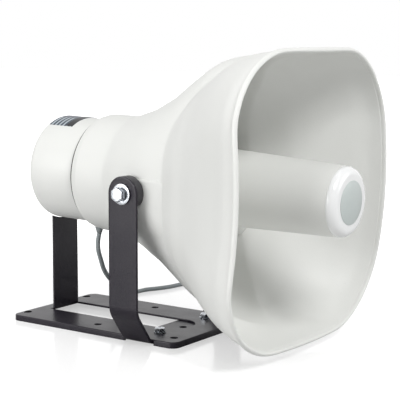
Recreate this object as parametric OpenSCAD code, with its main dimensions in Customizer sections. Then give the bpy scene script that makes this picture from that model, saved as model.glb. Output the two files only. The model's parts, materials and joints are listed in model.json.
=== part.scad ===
// Re-entrant horn loudspeaker on a pressed steel stand.
// Millimetres, Z up, mouth towards -Y, standing on Z = 0.

/* [Base plate] */
// length of the base plate along the horn
plate_l = 221; // [190:1:260]
// width of the base plate
plate_w = 137; // [124:1:150]
// height over the turned-down edge
plate_h = 6.4; // [6:0.1:9]
// thickness of the plate sheet
sheet = 2.2; // [1.6:0.1:2.6]
// radius of the plate corners
corner_r = 9; // [8:1:18]
// pitch of the 2 x 3 mounting holes
hole_pitch = 100; // [92:1:100]
// diameter of the mounting holes
hole_d = 8; // [6:0.5:9]
// distance of the rear holes from the rear edge
hole_edge = 6.8; // [6.8:0.2:14]
// width of the window and of the tab bent up from it
window_w = 45; // [38:1:48]
// thickness of the bent-up tab
tab_t = 2.2; // [1.6:0.1:3]
// distance of the tab from the rear edge
tab_edge = 19; // [15:1:24]

/* [Bracket] */
// width of the bracket strip
strip_w = 35; // [30:1:40]
// thickness of the bracket strip
strip_t = 3; // [2.4:0.1:3.4]
// distance of the pivot from the rear edge of the plate
pivot_rear = 176; // [168:1:184]
// height of the pivot above the ground
pivot_z = 155; // [150:1:175]
// distance between the inner faces of the arms
arm_gap = 183; // [176:1:196]
// height at which the feet bend inwards
kink_z = 34.5; // [28:0.5:42]
// spacing of the two web bolts
web_pitch = 82; // [72:1:90]
// distance of the web bolts in front of the pivot
web_front = 6; // [0:0.5:9]

/* [Side bolts] */
// thread diameter of the side bolts
bolt_d = 8; // [6:1:8]
// hexagon of the side bolts across flats
bolt_af = 13; // [11:1:14]
// diameter of the plain washers
washer_d = 21; // [17:1:24]
// thickness of the D-shaped spacers
spacer_t = 9.5; // [7:0.5:11]

/* [Horn] */
// mouth width over the bead
mouth_w = 292; // [276:1:304]
// mouth height over the bead
mouth_h = 291; // [276:1:292]
// distance of the mouth plane from the pivot
mouth_s = 185; // [175:1:200]
// set-back of the rim corners behind the mouth plane
rim_bow = 20; // [12:1:26]
// radius of the rim bead
bead_r = 2.6; // [2:0.1:3.4]
// wall of the bell
wall = 3; // [2.5:0.1:4]
// radius of the body behind the bell
body_r = 63; // [60:0.5:66]
// tilt of the horn at rest
tilt = 2; // [1:0.1:2.6]
// height of the horn axis above the pivot
axis_up = 4.5; // [3:0.5:7]

/* [Rear cover] */
// step from the body down to the rear cover
cover_step = 6.6; // [5:0.2:9]
// length of the rear cover
cover_l = 67; // [60:1:70]
// radius of its rear edge
cover_edge = 8; // [5:0.5:14]

/* [Reflector] */
// outer radius of the reflector at its rear end
refl_r0 = 43; // [40:0.5:46]
// outer radius of the reflector at its front end
refl_r1 = 34.6; // [32:0.1:37]
// distance of the front face from the pivot
refl_s = 203.5; // [196:0.5:210]
// radius of the label disc on the front face
label_r = 21; // [17:0.5:23]

/* [Cable] */
// cable diameter
cable_d = 5; // [4:0.1:6]

/* [Hidden] */
$fn = 64;
clear = 0.3;
web_z = plate_h - sheet - strip_t;
front_y = (refl_s + 0.4) * cos(tilt) + (label_r + axis_up) * sin(tilt);
pivot_y = (front_y - pivot_rear) / 2;
web_y = pivot_y - web_front;
half_in = arm_gap / 2;
half_out = half_in + strip_t;
pad_x = half_in - spacer_t - clear;
plate_y1 = pivot_y + pivot_rear;
plate_y0 = plate_y1 - plate_l;
tab_y = plate_y1 - tab_edge;
window_r = window_w / 2;
window_y0 = plate_y1 - 170;
exit_y = pivot_y + 88;
seam_s = -94.8;
cover_r = body_r - cover_step;
drv_r = cover_r - 10.4;
lip_r = body_r - 1.5;
exit_z = pivot_z + axis_up + (exit_y - pivot_y) * sin(tilt) - sqrt(lip_r * lip_r - 400) - 5.4;
cover_s0 = seam_s - 1.2;
cover_s1 = seam_s - cover_l;
cap_s0 = refl_s - 16;
body_in = body_r - wall;
insert_l = 10;
foot_in = plate_w / 2 + 0.2;
foot_out = foot_in + strip_t / 2;

// helpers
// horn frame: origin on the horn axis at the pivot, tilted as it rests
module in_horn() {
  translate([0, pivot_y, pivot_z]) rotate([tilt, 0, 0]) translate([0, 0, axis_up]) children();
}
// turned solids: local Z runs along the horn axis towards the mouth
module turned() {
  in_horn() rotate([90, 0, 0]) children();
}
// hexagonal prism of a given width across flats
module hexa(af, h) {
  cylinder(d = af / cos(30), h = h, $fn = 6);
}
// mirrored pair about the middle plane
module both() {
  children();
  mirror([1, 0, 0]) children();
}

// base plate
module plate_shape(inset) {
  r = corner_r - inset;
  x = plate_w / 2 - corner_r;
  translate([0, plate_y0 + plate_l / 2]) {
    square([2 * x, plate_l - 2 * inset], center = true);
    square([plate_w - 2 * inset, plate_l - 2 * corner_r], center = true);
    for (i = [-1, 1]) {
      for (j = [-1, 1]) {
        translate([i * x, j * (plate_l / 2 - corner_r)]) circle(r = r);
      }
    }
  }
}
module base_plate() {
  tab_top = pivot_z + axis_up * cos(tilt) + (tab_y - pivot_y) * sin(tilt);
  color([0.2, 0.19, 0.22]) {
    difference() {
      linear_extrude(height = plate_h) plate_shape(0);
      translate([0, 0, -1]) linear_extrude(height = plate_h - sheet + 1) plate_shape(sheet);
      // slots in the turned-down edge for the bracket
      translate([-plate_w, pivot_y - strip_w / 2 - 1, -1]) cube([plate_w * 2, strip_w + 2, plate_h - sheet + 1]);
      // window
      translate([0, window_y0, -1]) cylinder(r = window_r, h = plate_h + 2);
      translate([-window_r, window_y0, -1]) cube([window_w, tab_y - window_y0, plate_h + 2]);
      // mounting holes
      for (x = [-0.5, 0.5]) {
        for (j = [0, 1, 2]) {
          translate([x * hole_pitch, plate_y1 - hole_edge - j * hole_pitch, -1])
            cylinder(d = hole_d, h = plate_h + 2, $fn = 32);
        }
      }
      // holes of the web bolts and the middle hole
      for (x = [-0.5, 0.5]) {
        translate([x * web_pitch, web_y, -1]) cylinder(d = 6.6, h = plate_h + 2, $fn = 32);
      }
    }
    // tab bent up under the rear cover, hollowed to its curve
    difference() {
      translate([-window_r + 2.25, tab_y, plate_h - sheet]) cube([window_w - 4.5, tab_t, tab_top - 30]);
      translate([0, tab_y - 10, tab_top]) rotate([-90, 0, 0]) cylinder(r = cover_r + clear + 0.4, h = 20);
    }
  }
}

// bracket
module u_bracket() {
  top = pivot_z + strip_w;
  color([0.18, 0.17, 0.2])
    difference() {
      intersection() {
        translate([0, pivot_y + strip_w / 2, 0]) rotate([90, 0, 0]) linear_extrude(height = strip_w)
          polygon([
            [-foot_out, web_z], [foot_out, web_z], [half_out, kink_z], [half_out, top], [half_in, top],
            [half_in, kink_z + strip_t / 3], [foot_in, web_z + strip_t], [-foot_in, web_z + strip_t],
            [-half_in, kink_z + strip_t / 3], [-half_in, top], [-half_out, top], [-half_out, kink_z]
          ]);
        translate([-half_out - 1, pivot_y, 0]) rotate([90, 0, 90]) linear_extrude(height = 2 * half_out + 2) {
          translate([-strip_w / 2, 0]) square([strip_w, pivot_z]);
          translate([0, pivot_z]) circle(d = strip_w);
        }
      }
      translate([-half_out - 1, pivot_y, pivot_z]) rotate([0, 90, 0])
        cylinder(d = bolt_d + 2 * clear, h = 2 * half_out + 2, $fn = 32);
      for (x = [-0.5, 0.5]) {
        translate([x * web_pitch, web_y, web_z - 1]) cylinder(d = 6, h = strip_t + 2, $fn = 32);
      }
      translate([0, web_y, web_z - 1]) cylinder(d = hole_d, h = strip_t + 2, $fn = 32);
    }
}
module web_bolts() {
  color([0.75, 0.76, 0.78])
    for (x = [-0.5, 0.5]) {
      translate([x * web_pitch, web_y, 0]) {
        translate([0, 0, web_z + 0.2]) cylinder(d = 6, h = plate_h - web_z + 1, $fn = 32);
        translate([0, 0, plate_h + 1.2]) hexa(10, 4);
      }
    }
}
module star_washers() {
  color([0.7, 0.71, 0.73])
    for (x = [-0.5, 0.5]) {
      translate([x * web_pitch, web_y, plate_h])
        difference() {
          cylinder(d = 12.6, h = 1.2, $fn = 12);
          translate([0, 0, -1]) cylinder(d = 6, h = 4, $fn = 32);
        }
    }
}

// side bolts
module pivot_bolts() {
  head_x = half_out + 0.2 + 1.8 + 2;
  end_x = pad_x - insert_l;
  color([0.8, 0.81, 0.83])
    both() {
      translate([end_x, pivot_y, pivot_z]) rotate([0, 90, 0]) cylinder(d = bolt_d, h = head_x - end_x + 1, $fn = 32);
      translate([head_x, pivot_y, pivot_z]) rotate([0, 90, 0]) hexa(bolt_af, 5.3);
    }
}
module plain_washers() {
  color([0.8, 0.81, 0.83])
    both() {
      translate([half_out + 0.2, pivot_y, pivot_z]) rotate([0, 90, 0])
        difference() {
          cylinder(d = washer_d, h = 1.8);
          translate([0, 0, -1]) cylinder(d = bolt_d, h = 4, $fn = 32);
        }
    }
}
module spring_washers() {
  color([0.5, 0.51, 0.53])
    both() {
      translate([half_out + 2, pivot_y, pivot_z]) rotate([0, 90, 0])
        difference() {
          cylinder(d = bolt_af, h = 2, $fn = 32);
          translate([0, 0, -1]) cylinder(d = bolt_d, h = 4, $fn = 32);
        }
    }
}
module spacers() {
  color([0.13, 0.12, 0.14])
    both() {
      translate([half_in - spacer_t, pivot_y, pivot_z]) rotate([90, 0, 90])
        difference() {
          linear_extrude(height = spacer_t)
            difference() {
              union() {
                circle(d = strip_w);
                translate([-strip_w / 2, -11]) square([strip_w, 11]);
              }
              translate([-strip_w, -strip_w - 11]) square([2 * strip_w, strip_w]);
              circle(d = bolt_d + 2 * clear, $fn = 32);
            }
        }
    }
}
module thread_inserts() {
  color([0.78, 0.66, 0.35])
    both() {
      translate([pad_x - insert_l, pivot_y, pivot_z]) rotate([0, 90, 0])
        difference() {
          cylinder(d = bolt_d + 4, h = insert_l, $fn = 32);
          translate([0, 0, -1]) cylinder(d = bolt_d, h = insert_l + 2, $fn = 32);
        }
    }
}

// bell
// cross-section: a tall oval neck joined with a rounded box flare, whichever reaches further
seg = 56;
stations = [-62, -57, -40, -20, 0, 10, 20, 30, 37, 44, 52, 60, 68, 76, 84, 95, 108, 122, 138, 155, 170];
half_w = mouth_w / 2;
half_h = mouth_h / 2;
function neck_h(s) = lookup(s, [[-62, body_r - 0.4], [-57, body_r + 0.5], [-40, body_r + 5.5],
  [-20, body_r + 12.5], [0, body_r + 23], [10, body_r + 28.5], [25, body_r + 40], [37, body_r + 49.5],
  [47, body_r + 56.5], [62, half_h * 0.88], [76, half_h * 0.907], [95, half_h * 0.924], [138, half_h * 0.935]]);
function neck_w(s) = min(neck_h(s), lookup(s, [[-40, pad_x - 12.7], [-20, pad_x - 6.7], [0, pad_x - 1.7],
  [20, pad_x + 0.3], [90, pad_x + 2.3]]));
function box_w(s) = lookup(s, [[20, half_w * 0.411], [37, half_w * 0.538], [48, half_w * 0.589],
  [61, half_w * 0.637], [76, half_w * 0.682], [92, half_w * 0.743], [115, half_w * 0.829],
  [136, half_w * 0.897], [155, half_w - 6.5], [170, half_w - 3]]);
function box_h(s) = lookup(s, [[20, half_h * 0.454], [37, half_h * 0.619], [48, half_h * 0.67],
  [61, half_h * 0.742], [76, half_h * 0.811], [92, half_h * 0.873], [115, half_h * 0.928],
  [136, half_h * 0.955], [155, half_h - 4], [170, half_h - 2.8]]);
function box_n(s) = lookup(s, [[60, 2.5], [120, 2.9], [170, 3.7]]);
function super_r(a, b, n, u) = 1 / pow(pow(abs(cos(u)) / a, n) + pow(abs(sin(u)) / b, n), 1 / n);
function bell_r(s, u) = max(super_r(neck_w(s), neck_h(s), 2, u), super_r(box_w(s), box_h(s), box_n(s), u));
// the stations bend back towards the corners of the rim
function bend(s) = lookup(s, [[60, 0], [170, 1]]);
function bell_point(s, off, u) = let (
    r = bell_r(s, u) - off,
    x = r * cos(u),
    z = r * sin(u),
    b = rim_bow * (pow(2 * x / mouth_w, 2) + pow(2 * z / mouth_h, 2)),
    back = bend(s) * (b - rim_bow)
  ) [x, back - s * (mouth_s - rim_bow - 3) / 170, z];
module ring_shell(rings) {
  m = len(rings);
  n = len(rings[0]);
  pts = [for (r = rings) each r];
  faces = [for (i = [0:m - 1]) for (j = [0:n - 1]) let (
      k = (i + 1) % m,
      l = (j + 1) % n
    ) each [[i * n + j, k * n + j, k * n + l], [i * n + j, k * n + l, i * n + l]]];
  polyhedron(points = pts, faces = faces);
}
module bell_shell() {
  us = [for (j = [0:seg - 1]) j * 360 / seg];
  k = len(stations) - 1;
  outer = [for (s = stations) [for (u = us) bell_point(s, 0, u)]];
  inner = [for (i = [k:-1:2]) [for (u = us) bell_point(stations[i], wall, u)]];
  floor_ring = [for (u = us) bell_point(stations[1], wall + 4, u)];
  bead = [for (a = [-60:60:120]) [for (u = us) let (
      p = bell_point(stations[k], wall / 2, u),
      d = bead_r * sin(a),
      e = bead_r * cos(a),
      q = [cos(u), 0, sin(u)]
    ) [p[0] + e * q[0] * 1.7, p[1] - 2.4 - d, p[2] + e * q[2] * 1.7]]];
  ring_shell(concat(outer, bead, inner, [floor_ring]));
}
// the space inside the neck, grown by most of the wall
module bell_core() {
  us = [for (j = [0:seg - 1]) j * 360 / seg];
  rings = [for (i = [1:12]) [for (u = us) bell_point(stations[i], wall - 1.2, u)]];
  pts = concat([for (r = rings) each r], [[0, rings[0][0][1], 0], [0, rings[11][0][1], 0]]);
  side = [for (i = [0:10]) for (j = [0:seg - 1]) let (l = (j + 1) % seg)
      each [[i * seg + j, (i + 1) * seg + j, (i + 1) * seg + l], [i * seg + j, (i + 1) * seg + l, i * seg + l]]];
  caps = [for (j = [0:seg - 1]) let (l = (j + 1) % seg)
      each [[12 * seg, j, l], [12 * seg + 1, 11 * seg + l, 11 * seg + j]]];
  polyhedron(points = pts, faces = concat(side, caps));
}
module horn_bell() {
  color([0.9, 0.9, 0.88]) {
    difference() {
      union() {
        in_horn() bell_shell();
        // round body with the driver wall and the spigot of the rear cover
        turned() rotate_extrude()
          polygon([
            [22, -62], [22, -58], [body_r - 6, -58], [body_r + 0.3, -56], [body_r, -80], [body_r - 0.1, -93],
            [body_r - 0.5, seam_s + 0.6], [body_r - 1.2, seam_s], [cover_r - 4.2, seam_s],
            [cover_r - 4.2, seam_s - 8], [cover_r - 7, seam_s - 8], [cover_r - 7, seam_s + 3], [body_in - 1, seam_s + 9],
            [body_in - 1, -62]
          ]);
        // side pads that carry the pivot, with a round boss inside
        both() {
          difference() {
            translate([body_in, pivot_y - 38, pivot_z - 21]) cube([pad_x - body_in, 56, 35]);
            in_horn() bell_core();
          }
          translate([pad_x - insert_l, pivot_y, pivot_z]) rotate([0, 90, 0])
            cylinder(d = bolt_d + 11, h = insert_l - 1, $fn = 32);
        }
      }
      both() translate([pad_x - insert_l - 1, pivot_y, pivot_z]) rotate([0, 90, 0])
        cylinder(d = bolt_d + 4, h = insert_l + 2, $fn = 32);
      // cable hole
      translate([-20, exit_y, exit_z - 9]) cylinder(d = 9, h = 30, $fn = 32);
      // screw holes of the driver
      turned() for (a = [30:120:270]) {
        rotate([0, 0, a]) translate([drv_r - 2, 0, -63]) cylinder(d = 3, h = 4, $fn = 16);
      }
    }
  }
}

// reflector inside the bell
module reflector() {
  color([0.86, 0.87, 0.86])
    turned() {
      rotate_extrude()
        polygon([[refl_r0, -40], [refl_r1, cap_s0], [refl_r1 - 2.5, cap_s0], [refl_r0 - 2.5, -40]]);
      // three ribs that hold it on the inner horn
      for (a = [90, 210, 330]) {
        rotate([0, 0, a]) translate([29.5, -1.5, 60]) cube([7.5, 3, 70]);
      }
    }
}
module front_cap() {
  e = 9;
  r = refl_r1;
  color([0.96, 0.97, 0.97])
    turned() rotate_extrude()
      polygon(concat(
        [[0, refl_s - 3], [r - e, refl_s - 3], [r - 3, cap_s0 + 4], [r - 3, cap_s0], [r, cap_s0]],
        [for (a = [0:15:90]) [r - e + e * cos(a), refl_s - e + e * sin(a)]],
        [[0, refl_s]]
      ));
}
module cap_label() {
  color([0.74, 0.78, 0.77]) turned() translate([0, 0, refl_s]) cylinder(r = label_r, h = 0.4);
}
module inner_horn() {
  color([0.85, 0.85, 0.83])
    turned() difference() {
      rotate_extrude()
        polygon([
          [12, -66], [drv_r, -66], [drv_r, -62], [21.8, -62], [21.8, -56], [17, -50], [29.3, 60], [29.3, 130],
          [27, 150], [25, 150], [26.5, 60], [14, -50], [12, -60]
        ]);
      driver_holes();
    }
}
module seam_ring() {
  color([0.35, 0.36, 0.35])
    turned() translate([0, 0, cover_s0])
      difference() {
        cylinder(r = cover_r - 1, h = 1.2);
        translate([0, 0, -1]) cylinder(r = cover_r - 4, h = 4);
      }
}
module rear_cover() {
  e = cover_edge;
  r = cover_r;
  s1 = cover_s1;
  color([0.9, 0.9, 0.88])
    turned() rotate_extrude()
      polygon(concat(
        [[0, s1], [r - e, s1]],
        [for (a = [15:15:90]) [r - e + e * sin(a), s1 + e - e * cos(a)]],
        [[r, cover_s0], [r - 4, cover_s0], [r - 4, s1 + e], [r - e, s1 + 3.2], [0, s1 + 3.2]]
      ));
}
// curved patch on the cover: polar sector of a thin tube
module patch(r, t, s0, s1, a0, a1) {
  turned() translate([0, 0, s0]) rotate([0, 0, a0]) rotate_extrude(angle = a1 - a0)
    translate([r, 0]) square([t, s1 - s0]);
}
module rating_label() {
  color([0.3, 0.34, 0.42]) patch(cover_r + 0.05, 0.3, cover_s1 + 14, cover_s1 + 49, 60, 120);
}
module label_stripe() {
  color([0.06, 0.06, 0.07]) patch(cover_r + 0.36, 0.15, cover_s1 + 40, cover_s1 + 48, 60.5, 119.5);
}

// driver
drv = -66;
pole_r = drv_r / 3 - 0.5;
module driver_holes() {
  for (a = [30:120:270]) {
    rotate([0, 0, a]) translate([drv_r - 2, 0, drv - 13]) cylinder(d = 3, h = 19, $fn = 16);
  }
}
module driver_top() {
  color([0.45, 0.46, 0.48])
    turned() difference() {
      rotate_extrude()
        polygon([[pole_r + 1.4, drv - 19], [drv_r - 4, drv - 19], [drv_r - 4, drv - 12], [drv_r, drv - 12],
          [drv_r, drv], [drv_r - 10, drv], [drv_r - 10, drv - 11], [pole_r + 1.4, drv - 15]]);
      driver_holes();
    }
}
module driver_magnet() {
  color([0.22, 0.22, 0.23])
    turned() translate([0, 0, drv - 37])
      difference() {
        cylinder(r = drv_r - 1, h = 18);
        translate([0, 0, -1]) cylinder(r = drv_r - 24, h = 20);
      }
}
module driver_back() {
  color([0.5, 0.51, 0.53])
    turned() {
      translate([0, 0, drv - 42]) cylinder(r = drv_r - 6, h = 5);
      translate([0, 0, drv - 38]) cylinder(r = pole_r, h = 23);
    }
}
module voice_coil() {
  color([0.72, 0.45, 0.25])
    turned() translate([0, 0, drv - 20])
      difference() {
        cylinder(r = pole_r + 1, h = 10.4);
        translate([0, 0, -1]) cylinder(r = pole_r + 0.4, h = 12);
      }
}
module diaphragm() {
  color([0.6, 0.5, 0.3])
    turned() rotate_extrude()
      polygon([[0, drv - 7.2], [pole_r - 4.8, drv - 8.4], [pole_r + 1, drv - 9.6], [pole_r + 7, drv - 8],
        [drv_r - 10, drv - 8], [drv_r - 10, drv - 7.2], [pole_r + 7, drv - 7.2], [pole_r + 1, drv - 8.8],
        [pole_r - 4.8, drv - 7.6], [0, drv - 6.4]]);
}
module phase_plug() {
  color([0.2, 0.2, 0.2])
    turned() rotate_extrude()
      polygon([[0, drv - 5.4], [pole_r - 4.8, drv - 6.4], [pole_r + 5, drv - 6.4], [drv_r - 10, drv - 7.2],
        [drv_r - 10, drv], [11, drv], [10.5, drv - 3], [5, drv - 3], [0, drv + 8]]);
}
module driver_screws() {
  color([0.75, 0.76, 0.78])
    turned() for (a = [30:120:270]) {
      rotate([0, 0, a]) translate([drv_r - 2, 0, 0]) {
        translate([0, 0, drv - 13]) cylinder(d = 3, h = 19, $fn = 16);
        translate([0, 0, drv - 14]) cylinder(d = 3.9, h = 2, $fn = 16);
      }
    }
}
module transformer_core() {
  color([0.4, 0.4, 0.42])
    turned() translate([-18, -15, cover_s1 + 3.2])
      difference() {
        cube([36, 30, 12]);
        translate([6, 5, -1]) cube([6, 20, 14]);
        translate([24, 5, -1]) cube([6, 20, 14]);
      }
}
module transformer_coil() {
  color([0.72, 0.45, 0.25])
    turned() translate([-12, -10, cover_s1 + 4])
      difference() {
        cube([24, 20, 10.4]);
        translate([6, -1, -1]) cube([12, 22, 13]);
      }
}
module terminal_block() {
  color([0.15, 0.15, 0.16]) turned() translate([-12, 14.4 - cover_r, cover_s1 + 3.2]) cube([24, 10, 9]);
}

// cable
module cable_grommet() {
  color([0.2, 0.21, 0.22])
    translate([-20, exit_y, exit_z])
      difference() {
        cylinder(d = 9, h = 9, $fn = 32);
        translate([0, 0, -1]) cylinder(d = cable_d, h = 12, $fn = 32);
      }
}
floor_z = cable_d / 2;
coil_r = 27.5;
cable_path = [[-20, exit_y, exit_z - 0.4], [-20, exit_y + 1, exit_z - 9], [-19, 106, 80], [-15, 108, 68], [-6, 111, 55], [8, 115, 43],
  [27, 122, 33], [50, 132, 24], [76, 146, 14], [100, 159, 6], [120, 164, floor_z], [136, 162, floor_z],
  [150, 155, floor_z], [168, 149, floor_z], [190, 146, floor_z], [212, 138, floor_z], [230, 120, floor_z],
  [240, 94, floor_z], [242, 64, floor_z], [242, 34, floor_z]];
function tangent(p, i) = let (
    a = p[max(i - 1, 0)],
    b = p[min(i + 1, len(p) - 1)],
    d = b - a
  ) d / norm(d);
module tube(path, r) {
  n = 8;
  m = len(path);
  ref = [0.35, 0.45, 0.82];
  rings = [for (i = [0:m - 1]) let (
      t = tangent(path, i),
      u0 = cross(t, ref),
      u = u0 / norm(u0),
      v = cross(t, u)
    ) [for (j = [0:n - 1]) path[i] + r * (cos(j * 45) * u + sin(j * 45) * v)]];
  pts = [for (q = rings) each q];
  side = [for (i = [0:m - 2]) for (j = [0:n - 1]) let (k = (j + 1) % n)
      each [[i * n + j, (i + 1) * n + j, (i + 1) * n + k], [i * n + j, (i + 1) * n + k, i * n + k]]];
  ends = [[for (j = [0:n - 1]) j], [for (j = [n - 1:-1:0]) (m - 1) * n + j]];
  polyhedron(points = pts, faces = concat(side, ends));
}
// points between the route's points on a smooth curve
function smooth(p) = [for (i = [0:len(p) - 2]) each let (
    a = p[max(i - 1, 0)],
    b = p[i],
    c = p[i + 1],
    d = p[min(i + 2, len(p) - 1)]
  ) [for (t = [0, 0.5]) b + t * (c - a) / 2 + t * t * (2 * a - 5 * b + 4 * c - d) / 2
      + t * t * t * (3 * b - a - 3 * c + d) / 2]];
module cable() {
  color([0.42, 0.45, 0.46]) tube(concat(smooth(cable_path), [cable_path[len(cable_path) - 1]]), cable_d / 2);
}
module cable_coil() {
  color([0.42, 0.45, 0.46])
    translate([242 - coil_r - cable_d - 0.1, 34, 0])
      for (k = [0, 1, 2]) {
        translate([0, 0, floor_z + k * cable_d * 0.96]) rotate_extrude() translate([coil_r, 0])
          circle(d = cable_d, $fn = 12);
      }
}
module cable_end() {
  color([0.72, 0.45, 0.25])
    translate([242 - coil_r - cable_d - 0.1, 34 - coil_r - cable_d - 0.1, floor_z]) {
      rotate([0, -90, 0]) cylinder(d = cable_d, h = 30, $fn = 12);
      for (y = [-1.2, 1.2]) {
        translate([-29, y, 0]) rotate([0, -90, 0]) cylinder(d = 1.8, h = 14, $fn = 12);
      }
    }
}

base_plate();
u_bracket();
web_bolts();
star_washers();
pivot_bolts();
plain_washers();
spring_washers();
spacers();
thread_inserts();
horn_bell();
reflector();
front_cap();
cap_label();
inner_horn();
seam_ring();
rear_cover();
rating_label();
label_stripe();
driver_back();
driver_magnet();
driver_top();
voice_coil();
diaphragm();
phase_plug();
driver_screws();
transformer_core();
transformer_coil();
terminal_block();
cable_grommet();
cable();
cable_coil();
cable_end();
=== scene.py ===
import json
import math

import bmesh
import bpy
import numpy as np
from mathutils import Matrix, Vector
from mathutils.geometry import delaunay_2d_cdt


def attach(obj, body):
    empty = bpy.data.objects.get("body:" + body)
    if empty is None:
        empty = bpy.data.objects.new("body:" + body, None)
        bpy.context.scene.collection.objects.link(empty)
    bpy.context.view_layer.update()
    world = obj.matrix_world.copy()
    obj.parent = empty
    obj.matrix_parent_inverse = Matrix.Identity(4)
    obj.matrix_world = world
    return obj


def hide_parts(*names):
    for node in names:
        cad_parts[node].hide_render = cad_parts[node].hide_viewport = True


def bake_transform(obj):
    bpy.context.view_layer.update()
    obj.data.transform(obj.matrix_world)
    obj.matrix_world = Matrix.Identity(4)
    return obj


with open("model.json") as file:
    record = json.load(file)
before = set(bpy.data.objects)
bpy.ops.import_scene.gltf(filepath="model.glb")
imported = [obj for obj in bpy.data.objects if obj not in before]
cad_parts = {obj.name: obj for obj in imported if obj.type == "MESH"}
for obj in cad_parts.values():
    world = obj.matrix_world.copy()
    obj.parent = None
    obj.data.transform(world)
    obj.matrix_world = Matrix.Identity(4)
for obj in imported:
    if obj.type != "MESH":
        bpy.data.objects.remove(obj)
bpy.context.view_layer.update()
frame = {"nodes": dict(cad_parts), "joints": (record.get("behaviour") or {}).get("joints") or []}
# the pivot of the side bolts, in millimetres: all shapes below are worked out in millimetres
hinge = 1000 * np.array(frame["joints"][0]["pos_m"])

# Camera
# The photographer's place: 1.3 m away on the loudspeaker's right-hand side, a little above it,
# with a long lens. The directions are the camera's right, its up and its view.
camera = bpy.data.objects.new("camera", bpy.data.cameras.new("camera"))
bpy.context.scene.collection.objects.link(camera)
camera.data.lens = 108.5
camera.data.sensor_width = 36
camera.data.clip_start, camera.data.clip_end = 0.01, 100
stands_at = (-1.00933, -0.72072, 0.30568)
to_right = (0.574627, -0.818408, 0.003462)
to_top = (0.106217, 0.078771, 0.991218)
view_line = (0.811494, 0.569213, -0.132193)
axes = Matrix([to_right, to_top, [-c for c in view_line]]).transposed().to_4x4()
camera.matrix_world = Matrix.Translation(stands_at) @ axes
bpy.context.scene.camera = camera

# Cable
# Round grey two-core cable with a PVC sheath. It leaves the underside of the body, sags behind the
# stand and runs along the ground; what the photograph doesn't show is wound into a coil there.


class Shade:
    """A node's socket that takes part in sums. + - and * on values add Math nodes."""

    def __init__(self, socket):
        self.socket = socket
        self.tree = socket.id_data

    def node(self, kind, settings=None, sockets=None, output=0):
        """Adds a node of any kind: its settings first, then the values or links of its sockets."""
        made = self.tree.nodes.new("ShaderNode" + kind)
        for key, value in (settings or {}).items():
            setattr(made, key, value)
        for key, value in (sockets or {}).items():
            if isinstance(value, Shade):
                self.tree.links.new(value.socket, made.inputs[key])
            else:
                made.inputs[key].default_value = value
        return Shade(made.outputs[output])

    def maths(self, operation, *values):
        """A Math node on the values, in their order."""
        return self.node("Math", {"operation": operation}, dict(enumerate(values)))

    def __add__(self, other):
        return self.maths("ADD", self, other)

    def __sub__(self, other):
        return self.maths("SUBTRACT", self, other)

    def __rsub__(self, other):
        return self.maths("SUBTRACT", other, self)

    def __mul__(self, other):
        return self.maths("MULTIPLY", self, other)

    __radd__, __rmul__ = __add__, __mul__

    def wave(self, rate):
        """The sine of this value times a rate in radians per metre."""
        return self.maths("SINE", self * rate)

    def part(self, axis):
        """This vector's share along X, Y or Z, for an axis of 0, 1 or 2."""
        return self.node("SeparateXYZ", None, {0: self}, axis)

    def step(self, low, high):
        """0 below low, 1 above high and a smooth rise between them."""
        ends = {"Value": self, "From Min": low, "From Max": high}
        return self.node("MapRange", {"interpolation_type": "SMOOTHSTEP"}, ends)

    def blend(self, low, high):
        """The colour low where this value is 0, high where it is 1."""
        low, high = (c if isinstance(c, Shade) else (*c, 1) for c in (low, high))
        return self.node("Mix", {"data_type": "RGBA"}, {0: self, 6: low, 7: high}, 2)

    def noise(self, scale, detail=2.0, stretch=(1, 1, 1)):
        """Cloudy noise between 0 and 1 of so many cells per metre, drawn out by stretch."""
        where = self.node("Mapping", None, {"Vector": self, "Scale": stretch})
        return where.node("TexNoise", None, {"Vector": where, "Scale": scale, "Detail": detail})

    def bump(self, shader, distance, strength=1.0):
        """This height, in parts of distance in metres, roughens the shader's surface."""
        sockets = {"Height": self, "Distance": distance, "Strength": strength}
        self.node("Bump", None, sockets).feeds(shader, "Normal")

    def feeds(self, shader, name):
        """Links this socket to the shader's input of that name."""
        self.tree.links.new(self.socket, shader.inputs[name])


def new_finish(name, **fixed):
    """A material with one Principled shader whose fixed values sit on its own sockets.
    Returns the material, the shader and the object coordinates in metres."""
    material = bpy.data.materials.new(name)
    material.use_nodes = True
    shader = material.node_tree.nodes["Principled BSDF"]
    for key, value in fixed.items():
        shader.inputs[key.replace("_", " ")].default_value = value
    where = material.node_tree.nodes.new("ShaderNodeTexCoord").outputs["Object"]
    return material, shader, Shade(where)


def plain_finish(name, cloud, dark, pale, grain, dull, relief=None, **fixed):
    """The finish of a plain piece: a noise blends the colour from dark to pale, and a finer grain
    takes the roughness from the first to the second value of dull. cloud and grain are a noise's
    cells per metre and its detail; relief is the same and the depth of its bump in metres."""
    material, shader, where = new_finish(name, **fixed)
    where.noise(*cloud).blend(dark, pale).feeds(shader, "Base Color")
    (where.noise(*grain) * (dull[1] - dull[0]) + dull[0]).feeds(shader, "Roughness")
    if relief:
        where.noise(*relief[:2]).bump(shader, relief[2])
    return material


def unit(vectors):
    """The vectors divided by their lengths."""
    return vectors / np.linalg.norm(vectors, axis=-1, keepdims=True)


def run_along(line):
    """The length along a line up to each of its points: the sum of the steps before it."""
    return np.r_[0, np.cumsum(np.linalg.norm(np.diff(line, axis=0), axis=1))]


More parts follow.
